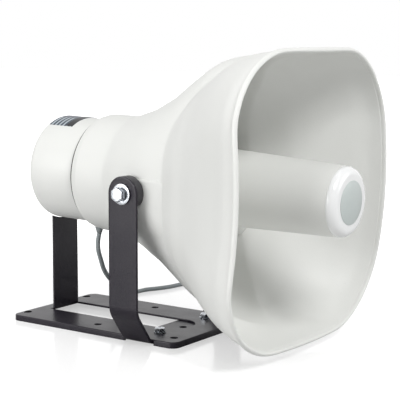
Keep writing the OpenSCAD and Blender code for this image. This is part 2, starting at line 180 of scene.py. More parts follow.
def smooth_line(points, spacing):
    """A Catmull-Rom curve through the points, resampled to an even spacing along its length."""
    p = np.asarray(points, float)
    p = np.vstack([2 * p[0] - p[1], p, 2 * p[-1] - p[-2]])
    a, b, c, d = (q[:, None, :] for q in (p[:-3], p[1:-2], p[2:-1], p[3:]))
    t = np.linspace(0, 1, 24, endpoint=False)[None, :, None]
    square, cube = 2 * a - 5 * b + 4 * c - d, 3 * b - a - 3 * c + d
    curved = b + t * (c - a) / 2 + t**2 * square / 2 + t**3 * cube / 2
    curved = np.vstack([curved.reshape(-1, 3), p[-2:-1]])
    run = run_along(curved)
    even = np.linspace(0, run[-1], int(run[-1] / spacing) + 1)
    return np.stack([np.interp(even, run, curved[:, k]) for k in range(3)], -1)


def grid(points, close_rows=False):
    """Points of a grid of rings and the quads between them. A ring is closed on itself, and the last
    ring meets the first one if close_rows is set."""
    rows, cols = points.shape[:2]
    i, j = np.meshgrid(np.arange(rows if close_rows else rows - 1), np.arange(cols), indexing="ij")
    below, beside = (i + 1) % rows, (j + 1) % cols
    quads = [i * cols + j, i * cols + beside, below * cols + beside, below * cols + j]
    return points.reshape(-1, 3), np.stack(quads, -1).reshape(-1, 4)


def capped(rings):
    """The rings with a ring shrunk to a point at each end, which closes the surface there."""
    first, last = (np.broadcast_to(ring.mean(0), rings[:1].shape) for ring in rings[[0, -1]])
    return np.concatenate([first, rings, last])


def tube(line, radius, sides=16):
    """Rings of a round rod along a line: each ring lies across the line, at its radius. The rings
    are turned by a slanting direction that no cord here runs along."""
    along = unit(np.gradient(line, axis=0))
    side = unit(np.cross(along, [0.35, 0.45, 0.82]))
    rise = np.cross(side, along)
    turn = np.arange(sides)[None, :, None] * 2 * math.pi / sides
    return line[:, None] + radius * (np.cos(turn) * side[:, None] + np.sin(turn) * rise[:, None])


def piece(name, surfaces, material, body=None, nodes=(), sharp=38):
    """Joins surfaces, each a pair of points in millimetres and faces, into one mesh object in metres.
    Doubles are merged, faces turned outwards, and edges sharper than so many degrees stay crisp."""
    starts = np.cumsum([0] + [len(points) for points, _ in surfaces])
    points = np.vstack([points for points, _ in surfaces]) / 1000
    faces = []
    for (_, part), start in zip(surfaces, starts):
        faces += (np.asarray(part) + start).tolist()
    mesh = bpy.data.meshes.new(name)
    mesh.from_pydata(points.tolist(), [], faces)
    work = bmesh.new()
    work.from_mesh(mesh)
    bmesh.ops.remove_doubles(work, verts=work.verts, dist=2e-6)
    bmesh.ops.recalc_face_normals(work, faces=work.faces)
    work.to_mesh(mesh)
    work.free()
    mesh.shade_smooth()
    mesh.set_sharp_from_angle(angle=math.radians(sharp))
    made = bpy.data.objects.new(name, mesh)
    bpy.context.scene.collection.objects.link(made)
    mesh.materials.append(material)
    if body:
        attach(made, body)
    if nodes:
        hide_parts(*nodes)
    return made


cable_d = 5.0
# height of the sheath's middle where it lies on the ground
low = cable_d / 2
exit_point = np.array([-21.5, hinge[1] + 90, 98.6])
route = [exit_point, exit_point + [0.3, 2.2, -8.6], [-20.5, 107, 80], [-15, 108, 68], [-6, 111, 55],
         [8, 115, 43], [27, 122, 33], [50, 132, 24], [76, 146, 14], [100, 159, 6], [120, 164, low],
         [136, 162, low], [150, 155, low], [168, 149, low], [190, 146, low], [212, 138, low],
         [230, 120, low], [240, 94, low], [242, 64, low], [242, 34, low]]
# the coil: angle run through, radius and height of the sheath's middle; it climbs once a turn, then
# comes down outside the turns and ends on the ground
coil_x, coil_y, coil_r = 209.4, 34.0, 27.5
outer_r, lap = 32.7, 4.8
turned_by = np.array([8, 60, 350, 395, 710, 755, 1020, 1085, 1165, 1170])
radius_at = np.array([32.4, *[coil_r] * 6, outer_r, outer_r, outer_r])
height_at = low + lap * np.array([0, 0, 0, 1, 1, 2, 2, 2, 0, 0])
swept = np.arange(8, 1171, 9.0)
radius, height = np.interp(swept, turned_by, radius_at), np.interp(swept, turned_by, height_at)
turns = np.stack([coil_x + radius * np.cos(np.radians(swept)),
                  coil_y - radius * np.sin(np.radians(swept)), height], -1)
tail_y = coil_y - outer_r
tail = np.array([[204, tail_y, low], [194, tail_y, low], [180.4, tail_y, low]])
cable_line = smooth_line(np.vstack([route, turns, tail]), 3.5)

grey_sheath = plain_finish(
    "grey_sheath", cloud=(60, 3), dark=(0.25, 0.28, 0.29), pale=(0.33, 0.36, 0.37),
    grain=(900, 2), dull=(0.36, 0.54), relief=(1400, 2, 0.0001), Specular_IOR_Level=0.45)
sheath_rings = capped(tube(cable_line, cable_d / 2))
cable = piece("cable_sheath", [grid(sheath_rings)], grey_sheath,
              nodes=("cable", "cable_coil"))
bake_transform(cable)

# Cable end
# The two cores of the cable: red and black insulation cut back from a few millimetres of tinned
# copper strands. The sheath is simply cut off square.
core_line = np.array([[181, tail_y, low], [176, tail_y, 2.4], [171, tail_y, 2.0],
                      [166.2, tail_y, 1.7]])
core_r, wire_r, core_apart = 0.9, 0.45, 2.5
# how far the cores spread at each of those points, in parts of their distance in the sheath
spread = (1, 1, 1.3, 1.5)
# points of each core, 1 mm apart, that keep their insulation
insulated = 10
insulation, shader, where = new_finish("core_insulation", Roughness=0.42)
black_side = where.part(1).step(0.0008, 0.0018)
black_side.blend((0.45, 0.03, 0.03), (0.03, 0.03, 0.035)).feeds(shader, "Base Color")
where.noise(1500).bump(shader, 0.00005)
bared_copper = plain_finish(
    "bared_copper", cloud=(2500, 2, (1, 4, 4)), dark=(0.62, 0.34, 0.20), pale=(0.80, 0.52, 0.34),
    grain=(3000, 2), dull=(0.25, 0.45), Metallic=1.0)
cores, wires = [], []
for side in (-1, 1):
    line = smooth_line(core_line + np.outer(spread, [0, side * core_apart / 2, 0]), 1.0)
    cores.append(grid(capped(tube(line[:insulated], core_r, 12))))
    wires.append(grid(capped(tube(line[insulated - 1:], wire_r, 10))))
cable_cores = piece("cable_cores", cores, insulation, "stand", ("cable_end",))
cable_wires = piece("cable_wires", wires, bared_copper, "stand")

# Ground and light
# A white studio sweep: pale ground that takes the shadow and a faint reflection, large soft boxes
# left of the camera, above and before the mouth.
reach = 8
corners = [(-reach, -reach, 0), (reach, -reach, 0), (reach, reach, 0), (-reach, reach, 0)]
ground_mesh = bpy.data.meshes.new("ground")
ground_mesh.from_pydata(corners, [], [(0, 1, 2, 3)])
ground = bpy.data.objects.new("ground", ground_mesh)
bpy.context.scene.collection.objects.link(ground)
# the ground glows white to the camera, and less so round the stand, where the shadow lies
near_glow, glow_from, glow_to = 0.50, 0.3, 0.75
floor_finish, shader, where = new_finish("studio_floor", Roughness=0.14, Specular_IOR_Level=0.3)
shader.inputs["Base Color"].default_value = (0.64, 0.64, 0.64, 1)
shader.inputs["Emission Strength"].default_value = 1.0
away = where.node("VectorMath", {"operation": "LENGTH"}, {0: where}, 1).step(glow_from, glow_to)
glow = away.blend([near_glow] * 3, (1.0, 1.0, 1.0))
where.node("LightPath").blend((0, 0, 0), glow).feeds(shader, "Emission Color")
ground_mesh.materials.append(floor_finish)

# white where the camera, a reflection or clear matter shows it, and dimmer as a lamp
sky_light = 0.22
world = bpy.data.worlds.new("studio")
bpy.context.scene.world = world
world.use_nodes = True
sky = world.node_tree.nodes["Background"]
sky.inputs["Color"].default_value = (1, 1, 1, 1)
paths = world.node_tree.nodes.new("ShaderNodeLightPath").outputs
to_eye, mirrored, through = (
    Shade(paths[name]) for name in ("Is Camera Ray", "Is Glossy Ray", "Is Transmission Ray"))
seen = to_eye + mirrored + through
(seen * (1 - sky_light) + sky_light).feeds(sky, "Strength")


def soft_box(name, place, width, depth, watts, target=(0, 0, 0.15)):
    """A rectangular area lamp at a place in metres. It shines along its own -Z axis, which is turned
    to the line from its place to the target."""
    lamp = bpy.data.lights.new(name, "AREA")
    lamp.shape, lamp.size, lamp.size_y, lamp.energy = "RECTANGLE", width, depth, watts
    made = bpy.data.objects.new(name, lamp)
    turn = (Vector(target) - Vector(place)).to_track_quat("-Z", "Y")
    made.matrix_world = Matrix.Translation(place) @ turn.to_matrix().to_4x4()
    bpy.context.scene.collection.objects.link(made)


soft_box("key", (-2.1, 0.75, 0.5), 1.6, 0.95, 27.5)
soft_box("mouth_fill", (-0.7, -1.6, 1.8), 0.9, 0.8, 34)
soft_box("right_fill", (1.3, -1.9, 0.7), 1.2, 1.0, 9)
soft_box("top", (0.2, 0.3, 2.4), 2.0, 2.0, 10)
bpy.context.scene.view_settings.view_transform = "Standard"

# Base plate
# Sheet steel pan, 2.2 mm thick, edges turned down, punched with six 8 mm holes and a long window.
# The tongue cut from the window is bent up under the driver cover. Stove-enamelled black.


def eased(points, cuts, steps=6):
    """A line of straight pieces with rounded corners: each corner is cut back by its distance on
    both sides, and a parabola joins the cuts."""
    p = np.asarray(points, float)
    t = np.linspace(0, 1, steps + 1)[:, None]
    out = [p[:1]]
    for before, corner_point, after, cut in zip(p[:-2], p[1:-1], p[2:], cuts):
        a = corner_point + cut * unit(before - corner_point)
        b = corner_point + cut * unit(after - corner_point)
        out.append((1 - t) ** 2 * a + 2 * t * (1 - t) * corner_point + t**2 * b)
    return np.vstack(out + [p[-1:]])


def arc(centre, radius, first, last, steps):
    """Points of a circle's arc from one angle to another, in degrees."""
    a = np.radians(np.linspace(first, last, steps + 1))
    return np.array(centre) + radius * np.stack([np.cos(a), np.sin(a)], -1)


def hole(centre, radius):
    """The loop of a round hole, run clockwise so that the metal lies on its left."""
    return arc(centre, radius, 360, 10, 35)


def row(x, y):
    """Points with these x and y, either of which may be one value for all."""
    return np.stack(np.broadcast_arrays(x, y), -1)


def filling(x, y):
    """Extra points inside a blank, at every crossing of these x and y."""
    return np.stack(np.meshgrid(x, y), -1).reshape(-1, 2)


def both_faces(edge):
    """An edge line of (inset, height) down to the sheet's middle, and its mirror image below that."""
    edge = np.array(edge)
    return np.vstack([edge, (edge * [1, -1])[::-1]])


def upright(x, y, z):
    """Places (along, across, height) in the frame's own directions from this point."""
    return lambda along, across, height: np.stack([x + along, y + across, z + height], -1)


def inside(points, loops):
    """True for each point that a line to the right crosses the loops an odd number of times."""
    count = np.zeros(len(points), int)
    for loop in loops:
        a, b = loop, np.roll(loop, -1, 0)
        x, y = points[:, :1], points[:, 1:]
        crosses = (a[:, 1] > y) != (b[:, 1] > y)
        rise = np.where(np.abs(b[:, 1] - a[:, 1]) < 1e-12, 1e-12, b[:, 1] - a[:, 1])
        count += (crosses & (x < a[:, 0] + (y - a[:, 1]) * (b[:, 0] - a[:, 0]) / rise)).sum(1)
    return count % 2 == 1


def sheet_metal(loops, edges, shape, extra=None, lift=None):
    """A flat blank with shaped edges. Each loop runs with the material on its left, and its edge is a
    line of (inset, height) from the top face round to the bottom face. A constrained triangulation
    fills both faces, through the extra points too. lift holds the first loop's least heights.
    shape turns arrays of (along, across, height) into points of the frame."""
    rims, surfaces = [], []
    for k, (loop, edge) in enumerate(zip(loops, edges)):
        ahead, back = unit(np.roll(loop, -1, 0) - loop), unit(loop - np.roll(loop, 1, 0))
        n1, n2 = (np.stack([-d[:, 1], d[:, 0]], 1) for d in (ahead, back))
        normal = (n1 + n2) / (1 + (n1 * n2).sum(1))[:, None]
        inset, height = edge[:, :1, None], np.repeat(edge[:, 1:2], len(loop), 1)
        if lift is not None and k == 0:
            height = np.maximum(height, lift)
        flat = loop[None] + inset * normal[None]
        surfaces.append(grid(shape(flat[..., 0], flat[..., 1], height)))
        rims.append((flat[0], flat[-1], edge[0, 1], edge[-1, 1]))
    for end in (0, 1):
        rings = [rim[end] for rim in rims]
        points = np.vstack(rings + ([extra] if extra is not None else []))
        lines, start = [], 0
        for ring in rings:
            lines += [(start + i, start + (i + 1) % len(ring)) for i in range(len(ring))]
            start += len(ring)
        made = delaunay_2d_cdt([tuple(p) for p in points], lines, [], 0, 1e-7)
        flat, faces = np.array([tuple(v) for v in made[0]]), np.array(made[2])
        faces = faces[inside(flat[faces].mean(1), rings)]
        height = np.full(len(flat), rims[0][2 + end])
        surfaces.append((shape(flat[:, 0], flat[:, 1], height), faces))
    return surfaces


def bend(points, cuts):
    """A bend line across a strip's width: its points, the length run up to each, and the directions
    square to it, which are the line's own turned by a right angle."""
    line = eased(points, cuts, 8)
    ahead = np.gradient(line, axis=0)
    return line, run_along(line), unit(np.stack([ahead[:, 1], -ahead[:, 0]], -1))


def bent(bend_line, along, height):
    """Where a flat strip's point lies once it is bent: along the line, and its height square to it."""
    line, run, square = bend_line
    return (np.interp(along, run, line[:, k]) + height * np.interp(along, run, square[:, k])
            for k in (0, 1))


plate_l, plate_w, plate_h, sheet = 221.0, 137.0, 6.4, 2.2
strip_w, strip_t = 35.0, 3.0
# height of the sheet's underside, which the bracket's web lies against
under, half_sheet = plate_h - sheet, sheet / 2
rear_y = hinge[1] + 176
front_y, tab_y = rear_y - plate_l, rear_y - 19
# the outline, with a slot in each turned-down side that a foot of the bracket runs out through
corner, slot_half, hair = 9.0, strip_w / 2 + 1, 0.02
side_y = hinge[1] + np.array([-slot_half - hair, -slot_half, slot_half, slot_half + hair])
corner_x, low_y, high_y = plate_w / 2 - corner, front_y + corner, rear_y - corner
outline = np.vstack([
    arc((corner_x, low_y), corner, -90, 0, 14), row(plate_w / 2, side_y),
    arc((corner_x, high_y), corner, 0, 90, 14), arc((-corner_x, high_y), corner, 90, 180, 14),
    row(-plate_w / 2, side_y[::-1]), arc((-corner_x, low_y), corner, 180, 270, 14)])
beside_foot = np.abs(outline[:, 1] - hinge[1]) < slot_half + hair / 2
# the window: square at the tongue's fold, round at its front end
window_half, window_l, fold_y = 22.5, 170, tab_y + 4.4
window = np.vstack([[[-window_half, fold_y]], [[window_half, fold_y]],
                    arc((0, rear_y - window_l), window_half, 0, -180, 40)])
hole_pitch, hole_r, hole_back = 100, 4, 6.8
punched = [hole((side * hole_pitch / 2, rear_y - hole_back - k * hole_pitch), hole_r)
           for side in (-1, 1) for k in (0, 1, 2)]
lip_edge = np.vstack([
    [[7, plate_h], [2.0, plate_h]],
    eased([[3.2, plate_h], [0, plate_h], [0, 2]], [1.3], 7)[1:-1],
    [[0, 1.0], [0, 0.5], [0.2, 0.1], [0.6, 0], [1.7, 0], [2.1, 0.2], [2.2, 0.6], [2.2, 3.2]],
    [[2.4, 3.8], [2.9, 4.15], [3.6, under], [7, under]]])
cut_edge = np.array([[0.9, plate_h], [0.45, plate_h], [0.12, plate_h - 0.1], [0, plate_h - 0.4],
                     [0, under + 0.2], [0.1, under], [0.9, under]])
pan = sheet_metal([outline, window, *punched], [lip_edge] + [cut_edge] * (1 + len(punched)),
                  upright(0, 0, 0), lift=np.where(beside_foot, under, 0.0)[None])
# the tongue, drawn flat as (way up from the fold, place across) and then bent up; its top is cut
# to the cover's round, and the loudspeaker's axis is tilted and lies a little above the side bolts
tab_half, tab_top, cradle_r = 20.25, 140, 57.1
axis_tilt, axis_up = math.radians(2), 4.5
tab_mid = plate_h - half_sheet
tab_bend = bend([[fold_y, tab_mid], [tab_y + half_sheet, tab_mid], [tab_y + half_sheet, tab_top]],
                [3.2])


def on_tab(along, across, height):
    """Bends the flat tongue: its way up follows the bend line, its height stands square to it."""
    y, z = bent(tab_bend, along, height)
    return np.stack([across, y, z], -1)


cup_z = hinge[2] + axis_up + (tab_y - hinge[1]) * math.sin(axis_tilt)
top_x = np.linspace(-tab_half, tab_half, 25)
top_u = np.interp(cup_z - np.sqrt(cradle_r**2 - top_x**2), tab_bend[0][:, 1], tab_bend[1])
fold_u = tab_bend[1][(tab_bend[1] > 0) & (tab_bend[1] < 12)]
tongue = np.vstack([row(top_u, top_x), row(fold_u[::-1], tab_half), [[0, tab_half], [0, -tab_half]],
                    row(fold_u, -tab_half)])
tongue_edge = both_faces([[1.6, half_sheet], [0.6, half_sheet], [0.15, 0.95], [0, 0.55]])
tab = sheet_metal([tongue], [tongue_edge], on_tab, filling(fold_u, np.linspace(-18, 18, 7)))

enamel, shader, where = new_finish("black_enamel", Coat_Roughness=0.15, Specular_IOR_Level=0.26)
clouds = where.noise(14, 3)
clouds.blend((0.008, 0.006, 0.013), (0.018, 0.014, 0.021)).feeds(shader, "Base Color")
(where.noise(45, 4) * 0.16 + where.noise(700, 2) * 0.06 + 0.24).feeds(shader, "Roughness")
(where.noise(30, 2) * 0.16 + 0.04).feeds(shader, "Coat Weight")
where.noise(420, 1.5).bump(shader, 0.00012)
piece("base_plate_enamelled", pan + tab, enamel, "stand", ("base_plate",))

# Bracket
# One strip of 3 mm steel, bent to a U: the web lies under the plate, the feet slant outwards and the
# arms rise to the side bolts with rounded tops. Enamelled like the plate.
arm_in = 91.5
arm_mid, web_mid = arm_in + strip_t / 2, under - strip_t / 2
foot_x, foot_top = 69.45, 35
half_line, half_run, half_square = bend(
    [[0, web_mid], [foot_x, web_mid], [arm_mid, foot_top], [arm_mid, hinge[2] + strip_w / 2]], [5, 7])
# both halves meet in the middle of the web, which is level
half_square[0] = (0, -1)


def on_strip(along, across, height):
    """Bends the flat strip: a place along it follows the bent line, mirrored for the other arm."""
    x, z = bent((half_line, half_run, half_square), np.abs(along), height)
    return np.stack([np.where(along < 0, -1, 1) * x, hinge[1] + across, z], -1)


half_strip = strip_w / 2
end_u = half_run[-1] - half_strip
bends = half_run[(half_run > 20) & (half_run < end_u - 5)]
stations = np.r_[-bends[::-1], bends]
strip = np.vstack([row(stations, -half_strip), arc((end_u, 0), half_strip, -90, 90, 30),
                   row(stations[::-1], half_strip), arc((-end_u, 0), half_strip, 90, 270, 30)])
strip_edge = both_faces([[2, 1.5], [0.7, 1.5], [0.25, 1.35], [0.05, 1.05], [0, 0.7]])
hole_edge = both_faces([[0.9, 1.5], [0.3, 1.5], [0, 1.2]])
web_front, bore_r = 6, 4.3
holes = [hole((0, -web_front), hole_r), hole((end_u, 0), bore_r), hole((-end_u, 0), bore_r)]
arms = sheet_metal([strip, *holes], [strip_edge] + [hole_edge] * 3, on_strip,
                   filling(stations, np.linspace(-14, 14, 5)))
piece("bracket_enamelled", arms, enamel, "stand", ("u_bracket",))

# Web bolts and star washers
# Two zinc-plated M6 hexagon bolts hold the web under the plate, each on an external-tooth washer
# whose teeth are twisted and bite into the enamel.
compass = np.radians(np.arange(0, 360, 3))


def ringed(rings, angles, place, close_rows=False):
    """Rings round an axis, each of a radius and a height that may change with the angle. place turns
    arrays of (x, y, height) into points of the frame."""
    x, y = np.cos(angles), np.sin(angles)
    return grid(np.stack([place(r * x, r * y, h + 0 * x) for r, h in rings]), close_rows)


def spun(profile, place, steps=48):
    """A turned solid: a closed line of (radius, height) carried round an axis."""
    return ringed(profile, np.arange(steps) * 2 * math.pi / steps, place, close_rows=True)


def hexagon_head(width, height, place, dish=0.25):
    """A hexagon head: the distance to a flat, over the cosine of the angle from it, gives the sides,
    and a cone of 30 degrees takes off the corners."""
    from_flat = (compass + math.pi / 6) % (math.pi / 3) - math.pi / 6
    side, round_r = width / 2 / np.cos(from_flat), width / 2 * 0.95
    top = height - np.maximum(0, side - round_r) * math.tan(math.radians(30))
    rings = [(0, 0), (side * 0.96, 0), (side, 0.3), (side, top), (round_r, height),
             (round_r * 0.8, height), (round_r * 0.72, height - dish), (0, height - dish)]
    return ringed(rings, compass, place)


zinc = plain_finish(
    "bright_zinc", cloud=(160, 3), dark=(0.50, 0.53, 0.57), pale=(0.70, 0.72, 0.75),
    grain=(420, 3), dull=(0.14, 0.36), relief=(900, 2, 0.00006), Metallic=1.0)
web_pitch, web_y, teeth = 82, hinge[1] - web_front, 10
shank_low, washer_top = 1.2, plate_h + 1.2
shank = [[0, shank_low], [3, shank_low], [3, washer_top + 0.1], [0, washer_top + 0.1]]
tooth_r = 5.5 + 0.8 * np.clip(np.sin(teeth * compass) * 3, -1, 1)
twist = 0.38 * np.clip(np.sin(teeth * compass + 1.2) * 1.6, -1, 1)
star = [(3.1, 0.25), (5.0, 0.25), (tooth_r, 0.42 + twist), (tooth_r, 0.85 + twist), (5.0, 0.95),
        (3.1, 0.95)]
bolts, stars = [], []
for x in (-web_pitch / 2, web_pitch / 2):
    bolts.append(hexagon_head(10, 4, upright(x, web_y, washer_top)))
    bolts.append(spun(shank, upright(x, web_y, 0)))
    stars.append(ringed(star, compass, upright(x, web_y, plate_h + 0.05), close_rows=True))
piece("web_bolts_zinc", bolts, zinc, "stand", ("web_bolts",))
piece("star_washers_toothed", stars, zinc, "stand", ("star_washers",), 25)

# Side bolts, washers and spring rings
# M8 hexagon bolts, bright zinc, one through each arm into the body. Under each head a split spring
# ring of dark steel and a wide plain washer.


def sideways(sign, x):
    """Turned parts of one side: their height runs outwards along X from x on that side."""
    return lambda along, across, height: np.stack(
        [sign * (x + height), hinge[1] + along, hinge[2] + across], -1)


dark_steel = plain_finish(
    "dark_spring_steel", cloud=(300, 3), dark=(0.05, 0.055, 0.06), pale=(0.16, 0.17, 0.18),
    grain=(500, 2), dull=(0.3, 0.5), Metallic=0.85)
# places outwards along the bolt: its tip, the washer's two faces and the head's underside
tip_x, washer_in, washer_out, head_x = 71.7, 94.7, 96.5, 98.5
bolt_r, washer_r, ring_in, ring_out = 4, 10.5, 4.2, 6.4
bolt = [[0, tip_x], [bolt_r - 0.1, tip_x], [bolt_r, tip_x + 0.8], [bolt_r, head_x + 0.1],
        [0, head_x + 0.1]]
washer = [[4.1, washer_in + 0.1], [4.1, washer_out - 0.1], [4.3, washer_out],
          [washer_r - 0.4, washer_out], [washer_r - 0.1, washer_out - 0.15],
          [washer_r, washer_out - 0.4], [washer_r, washer_in + 0.4],
          [washer_r - 0.1, washer_in + 0.15], [washer_r - 0.4, washer_in], [4.3, washer_in]]
# the spring ring's square section runs from one side of its split to the other and climbs a little
section = eased([[ring_in, 1], [ring_in, 1.8], [ring_out, 1.8], [ring_out, 0.2], [ring_in, 0.2],
                 [ring_in, 1]], [0.25] * 4, 3)[1:-1]
sweep, climb = np.radians(np.linspace(8, 350, 72)), np.linspace(-0.18, 0.18, 72)
heads, washers, springs = [], [], []
for sign in (-1, 1):
    heads.append(hexagon_head(13, 5.3, sideways(sign, head_x), 0.4))
    heads.append(spun(bolt, sideways(sign, 0)))
    washers.append(spun(washer, sideways(sign, 0), 96))
    on_washer = sideways(sign, washer_out)
    rings = [on_washer(r * np.cos(sweep), r * np.sin(sweep), h + climb) for r, h in section]
    springs.append(grid(capped(np.stack(rings, 1))))
piece("side_bolts_zinc", heads, zinc, "horn", ("pivot_bolts",))
piece("plain_washers_zinc", washers, zinc, "horn", ("plain_washers",))
piece("spring_rings_split", springs, dark_steel, "horn", ("spring_washers",))

# Spacers
# Black moulded distance pieces between the arms and the body: round above, cut off flat below. Each
# has a bore for the side bolt, which clamps it.


def dense(loop, gap):
    """A closed loop with its long straight sides divided into equal steps of at most gap."""
    ahead = np.roll(loop, -1, 0) - loop
    counts = np.maximum(1, np.ceil(np.linalg.norm(ahead, axis=1) / gap)).astype(int)
    start, step = np.repeat(loop, counts, 0), np.repeat(ahead / counts[:, None], counts, 0)
    steps_run = np.concatenate([np.arange(c) for c in counts])[:, None]
    return start + step * steps_run


spacer_r, flat_down, half_t = 17.5, 11, 4.75
tip = math.degrees(math.asin(flat_down / spacer_r))
d_shape = dense(arc((0, 0), spacer_r, -tip, 180 + tip, 60), 4)
d_edge = both_faces([[2.5, half_t], [1.0, half_t], [0.3, half_t - 0.25], [0, 3.9]])
bore_edge = both_faces([[0.8, half_t], [0.3, half_t], [0, 4.4]])
black_moulding = plain_finish(
    "black_moulding", cloud=(40, 3), dark=(0.020, 0.019, 0.022), pale=(0.034, 0.032, 0.037),
    grain=(500, 3), dull=(0.38, 0.58), relief=(1100, 2, 0.00012))
blocks = []
for sign in (-1, 1):
    blocks += sheet_metal([d_shape, hole((0, 0), bore_r)], [d_edge, bore_edge],
                          sideways(sign, arm_in - half_t))
piece("spacers_moulded", blocks, black_moulding, "stand", ("spacers",))

# Horn bell
# One off-white moulding: the round body, a tall oval neck and the flared rounded-square mouth with
# a rolled bead. The neck and the flare are two forms, and the skin is whichever reaches further.


def curve(s, table):
    """A smooth line through a table of (place, value): cubic pieces whose slopes at the knots are the
    harmonic means of the slopes on both sides, and zero at a peak."""
    x, y = np.array(table, float).T
    d = np.diff(y) / np.diff(x)
    product = d[:-1] * d[1:]
    m = np.where(product > 0, 2 * product / np.where(product > 0, d[:-1] + d[1:], 1), 0)
    m = np.r_[d[0], m, d[-1]]
    s = np.clip(s, x[0], x[-1])
    i = np.clip(np.searchsorted(x, s, "right") - 1, 0, len(x) - 2)
    h = x[i + 1] - x[i]
    t = (s - x[i]) / h
    return (y[i] * (1 + 2 * t) * (1 - t) ** 2 + h * m[i] * t * (1 - t) ** 2
            + y[i + 1] * t**2 * (3 - 2 * t) + h * m[i + 1] * t**2 * (t - 1))


def neck_half_height(s):
    """Half the neck's height: the round body, then a rise that levels off inside the flare."""
    return curve(s, [(-94.8, 61.8), (-94.2, 62.5), (-93, 62.8), (-80, 63), (-57, 63.5), (-40, 68.5),
                     (-20, 75.5), (0, 86), (10, 91.5), (25, 103), (37, 112.5), (47, 119.5),
                     (62, 128), (76, 132), (95, 134.5), (138, 136), (171, 136)])


def neck_half_width(s):
    """Half the neck's width: as round as it is high at the body, then a slower rise."""
    slower = curve(s, [(-94.8, 66), (-57, 66), (-40, 69), (-20, 74), (0, 78.5), (20, 80.5),
                       (90, 82.5), (171, 84)])
    return np.minimum(neck_half_height(s), slower)


def flare_half_width(s):
    """Half the distance between the flare's side panels."""
    return curve(s, [(-95, 20), (20, 60), (37, 78.5), (48, 86), (61, 93), (76, 99.5), (92, 108.5),
                     (115, 121), (136, 131), (155, 139.5), (171, 143.4)])


def flare_half_height(s):
    """Half the distance between the flare's upper and lower panels."""
    return curve(s, [(-95, 20), (20, 66), (37, 90), (48, 97.5), (61, 108), (76, 118), (92, 127),
                     (115, 135), (136, 139), (155, 141.5), (171, 142.9)])


def oval(a, b, n, u):
    """Distance to a superellipse of half sizes a and b and power n, at the angle u."""
    return 1 / ((np.abs(np.cos(u)) / a) ** n + (np.abs(np.sin(u)) / b) ** n) ** (1 / n)


# powers that round the edges between panels and corners, and between neck and flare: more is crisper
panel_power, crease_power = 110, 150


def bell_radius(s, u):
    """The further of the oval neck and the flare, with a small fillet where they meet: the sum of
    both to a high power, brought back to that root. The flare is a wider rounded section cut by four
    flat panels, whose borders on the round part are arches that open towards the mouth."""
    wide, tall = flare_half_width(s), flare_half_height(s)
    wider = curve(s, [(-95, 1), (50, 1), (60, 1.004), (77, 1.022), (92, 1.037), (106, 1.047),
                      (127, 1.052), (143, 1.05), (171, 1.044)])
    taller = curve(s, [(-95, 1), (50, 1), (77, 1.01), (92, 1.018), (127, 1.028), (171, 1.03)])
    squareness = curve(s, [(-95, 2.5), (50, 2.5), (92, 2.6), (127, 2.8), (171, 3.05)])
    neck = oval(neck_half_width(s), neck_half_height(s), 2, u)
    flare = oval(wide * wider, tall * taller, squareness, u)
    for panel in (wide / np.abs(np.cos(u)), tall / np.abs(np.sin(u))):
        flare = flare * (1 + (flare / panel) ** panel_power) ** (-1 / panel_power)
    return neck * (1 + (flare / neck) ** crease_power) ** (1 / crease_power)


def on_horn(x, s, z):
    """Points across, along the axis towards the mouth and up become points of the frame: the axis is
    tilted by its angle and raised above the side bolts."""
    z = z + axis_up
    y = hinge[1] - s * math.cos(axis_tilt) - z * math.sin(axis_tilt)
    return np.stack([x + 0 * s, y, hinge[2] - s * math.sin(axis_tilt) + z * math.cos(axis_tilt)], -1)


# the tables above run to drawn_l, which is drawn in to the bell's real length; the rim is set back
# by so much at its sides and at its top and bottom, all of it comes forward again by rim_forward,
# and corner_less takes a little off where both set-backs add up
drawn_l, bell_l = 170, 162
rim_half_w, rim_half_h = 146, 145.5
side_back, top_back, rim_forward, corner_less = 19, 21.5, 20, 2


def bell_skin(s, u, inset=0.0, forward=0.0):
    """The bell's skin at a place along the axis and an angle. Towards the mouth the places bend back
    with the square of the distance from the axis, so the rim's corners lie behind its sides."""
    r = bell_radius(s, u) - inset
    x, z = r * np.cos(u), r * np.sin(u)
    x2, z2 = (x / rim_half_w) ** 2, (z / rim_half_h) ** 2
    bow = side_back * x2 + top_back * z2 - rim_forward - corner_less * x2 * z2
    back = np.clip((s - 60) / 110, 0, 1) * bow
    return on_horn(x, s * bell_l / drawn_l - back + forward, z)


around, wall = 320, 3.0
angles = (np.arange(around) + 0.5) * 2 * math.pi / around
outer_s = np.r_[-94.8, -94.5, -94.2, -93.6, -93, np.linspace(-91, -80, 5), np.linspace(-78, 16, 40),
                np.linspace(18, 160, 80), 164, 167.5]
inner_s = np.r_[168, 165, np.linspace(160, 0, 76), np.linspace(-4, -57, 16)]
# the bead: places outwards and forwards of the skin's end, round from the outside to the inside
bead = [(0.0, -1.0), (0.5, -1.1), (1.1, -0.9), (1.7, -0.3), (2.0, 0.5), (2.0, 1.5), (1.7, 2.5),
        (1.1, 3.2), (0.2, 3.6), (-0.8, 3.5), (-1.6, 3.0), (-2.2, 2.2), (-2.6, 1.1), (-2.8, -0.1),
        (-3.0, -1.6)]
# the driver's wall and the spigot of the rear cover, as (radius, place along the axis)
back_line = [(57, -55.5), (57, -58), (22, -58), (22, -62), (59, -62), (59, -85.8), (49.4, -91.8),
             (49.4, -102.8), (52.2, -102.8), (52.2, -94.9), (61.0, -94.9)]
skin = [bell_skin(s, angles) for s in outer_s]
skin += [bell_skin(drawn_l + 0 * angles, angles, -out, ahead) for out, ahead in bead]
skin += [bell_skin(s, angles, wall) for s in inner_s]
skin += [on_horn(r * np.cos(angles), s + 0 * angles, r * np.sin(angles)) for r, s in back_line]
bell = [grid(np.stack(skin), close_rows=True)]

